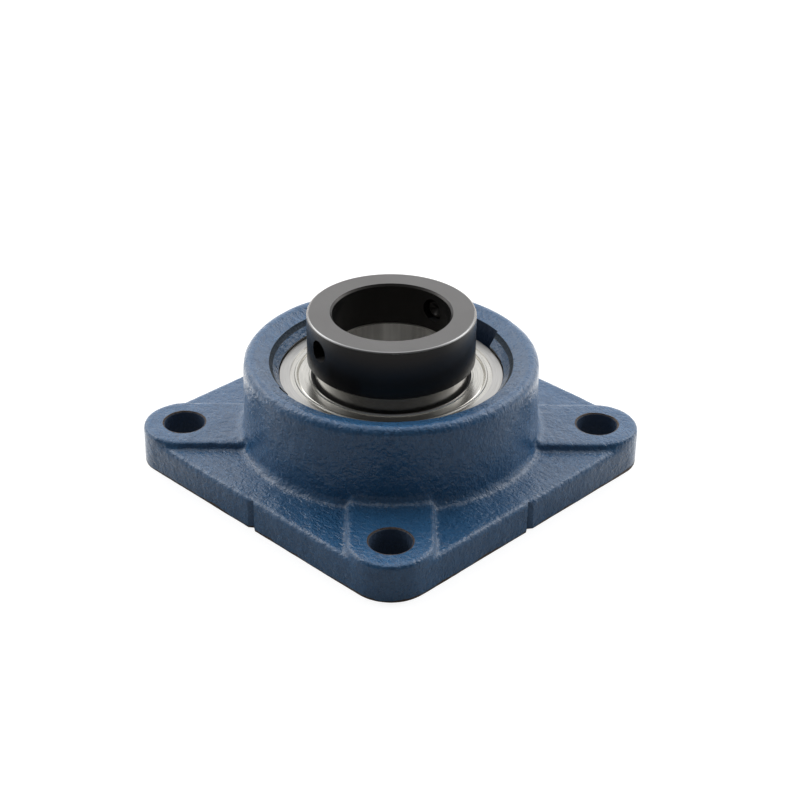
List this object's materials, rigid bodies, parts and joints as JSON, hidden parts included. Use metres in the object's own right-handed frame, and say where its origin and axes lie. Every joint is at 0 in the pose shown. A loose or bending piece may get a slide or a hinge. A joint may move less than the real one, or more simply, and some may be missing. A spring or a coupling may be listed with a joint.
{
  "type": "flange bearing unit",
  "caption": "Square cast flange housing that bolts to a wall and holds a self-aligning ball bearing with an eccentric locking collar for a plain round shaft.",
  "frame": {"origin": "centre of the housing's mounting face, on the shaft's axis", "axes": "+Z along the shaft, out of the open front of the housing; X and Y parallel to the flange's sides, with the loading slots on +Y and -Y and the grease nipple on -X"},
  "size_m": [0.13, 0.13, 0.0573],
  "materials": {
    "housing_paint": "blue machinery paint over a sand-cast skin, with the mounting face and the seat machined bare",
    "ring_steel": "ground bearing steel",
    "ball_steel": "polished",
    "cage_steel": "pressed sheet, matt",
    "sheet_steel": "bright pressed sheet",
    "seal_rubber": "matt",
    "black_oxide": "black oxide, lightly oiled",
    "zinc_plate": "zinc plated"
  },
  "bodies": {
    "mount_housing": {"housing": "housing_paint", "grease_nipple": "zinc_plate"},
    "insert_outer": {"outer_ring": "ring_steel", "front_seal_washer": "sheet_steel", "front_seal_lip": "seal_rubber", "back_seal_washer": "sheet_steel", "back_seal_lip": "seal_rubber"},
    "insert_inner": {"inner_ring": "ring_steel"},
    "cage": {"cage_front": "cage_steel", "cage_back": "cage_steel", "cage_rivets": "cage_steel"},
    "ball_1": {"ball_1": "ball_steel"},
    "ball_2": {"ball_2": "ball_steel"},
    "ball_3": {"ball_3": "ball_steel"},
    "ball_4": {"ball_4": "ball_steel"},
    "ball_5": {"ball_5": "ball_steel"},
    "ball_6": {"ball_6": "ball_steel"},
    "ball_7": {"ball_7": "ball_steel"},
    "ball_8": {"ball_8": "ball_steel"},
    "ball_9": {"ball_9": "ball_steel"},
    "collar": {"locking_collar": "black_oxide"},
    "screw": {"set_screw": "black_oxide"},
    "check_ball": {"nipple_ball": "ball_steel"}
  },
  "joints": [
    {"name": "align_tilt", "type": "hinge", "parent": "mount_housing", "child": "insert_outer", "pos_m": [0, 0, 0.0236], "axis": [1, 0, 0], "range_deg": [-2.5, 2.5]},
    {"name": "shaft_spin", "type": "hinge", "parent": "insert_outer", "child": "insert_inner", "pos_m": [0, 0, 0.0236], "axis": [0, 0, 1], "continuous": true},
    {"name": "cage_orbit", "type": "hinge", "parent": "insert_outer", "child": "cage", "pos_m": [0, 0, 0.0236], "axis": [0, 0, 1], "continuous": true},
    {"name": "ball_1_roll", "type": "hinge", "parent": "cage", "child": "ball_1", "pos_m": [0.03, 0, 0.0236], "axis": [0, 0, 1], "continuous": true},
    {"name": "ball_2_roll", "type": "hinge", "parent": "cage", "child": "ball_2", "pos_m": [0.02298, 0.01928, 0.0236], "axis": [0, 0, 1], "continuous": true},
    {"name": "ball_3_roll", "type": "hinge", "parent": "cage", "child": "ball_3", "pos_m": [0.00521, 0.02954, 0.0236], "axis": [0, 0, 1], "continuous": true},
    {"name": "ball_4_roll", "type": "hinge", "parent": "cage", "child": "ball_4", "pos_m": [-0.015, 0.02598, 0.0236], "axis": [0, 0, 1], "continuous": true},
    {"name": "ball_5_roll", "type": "hinge", "parent": "cage", "child": "ball_5", "pos_m": [-0.02819, 0.01026, 0.0236], "axis": [0, 0, 1], "continuous": true},
    {"name": "ball_6_roll", "type": "hinge", "parent": "cage", "child": "ball_6", "pos_m": [-0.02819, -0.01026, 0.0236], "axis": [0, 0, 1], "continuous": true},
    {"name": "ball_7_roll", "type": "hinge", "parent": "cage", "child": "ball_7", "pos_m": [-0.015, -0.02598, 0.0236], "axis": [0, 0, 1], "continuous": true},
    {"name": "ball_8_roll", "type": "hinge", "parent": "cage", "child": "ball_8", "pos_m": [0.00521, -0.02954, 0.0236], "axis": [0, 0, 1], "continuous": true},
    {"name": "ball_9_roll", "type": "hinge", "parent": "cage", "child": "ball_9", "pos_m": [0.02298, -0.01928, 0.0236], "axis": [0, 0, 1], "continuous": true},
    {"name": "collar_lock", "type": "hinge", "parent": "insert_inner", "child": "collar", "pos_m": [0, 0, 0.0236], "axis": [0, 0, 1], "range_deg": [-24, 24]},
    {"name": "screw_travel", "type": "slide", "parent": "collar", "child": "screw", "axis": [0, -1, 0], "range_m": [-0.002, 0.0016]},
    {"name": "check_ball_travel", "type": "slide", "parent": "mount_housing", "child": "check_ball", "axis": [1, 0, 0], "range_m": [0, 0.0008], "stiffness_N_per_m": 200, "springref_m": -0.0005}
  ],
  "couplings": [
    {"joint": "cage_orbit", "follows": "shaft_spin", "ratio": 0.4},
    {"joint": "ball_1_roll", "follows": "shaft_spin", "ratio": -2.4},
    {"joint": "ball_2_roll", "follows": "shaft_spin", "ratio": -2.4},
    {"joint": "ball_3_roll", "follows": "shaft_spin", "ratio": -2.4},
    {"joint": "ball_4_roll", "follows": "shaft_spin", "ratio": -2.4},
    {"joint": "ball_5_roll", "follows": "shaft_spin", "ratio": -2.4},
    {"joint": "ball_6_roll", "follows": "shaft_spin", "ratio": -2.4},
    {"joint": "ball_7_roll", "follows": "shaft_spin", "ratio": -2.4},
    {"joint": "ball_8_roll", "follows": "shaft_spin", "ratio": -2.4},
    {"joint": "ball_9_roll", "follows": "shaft_spin", "ratio": -2.4}
  ]
}
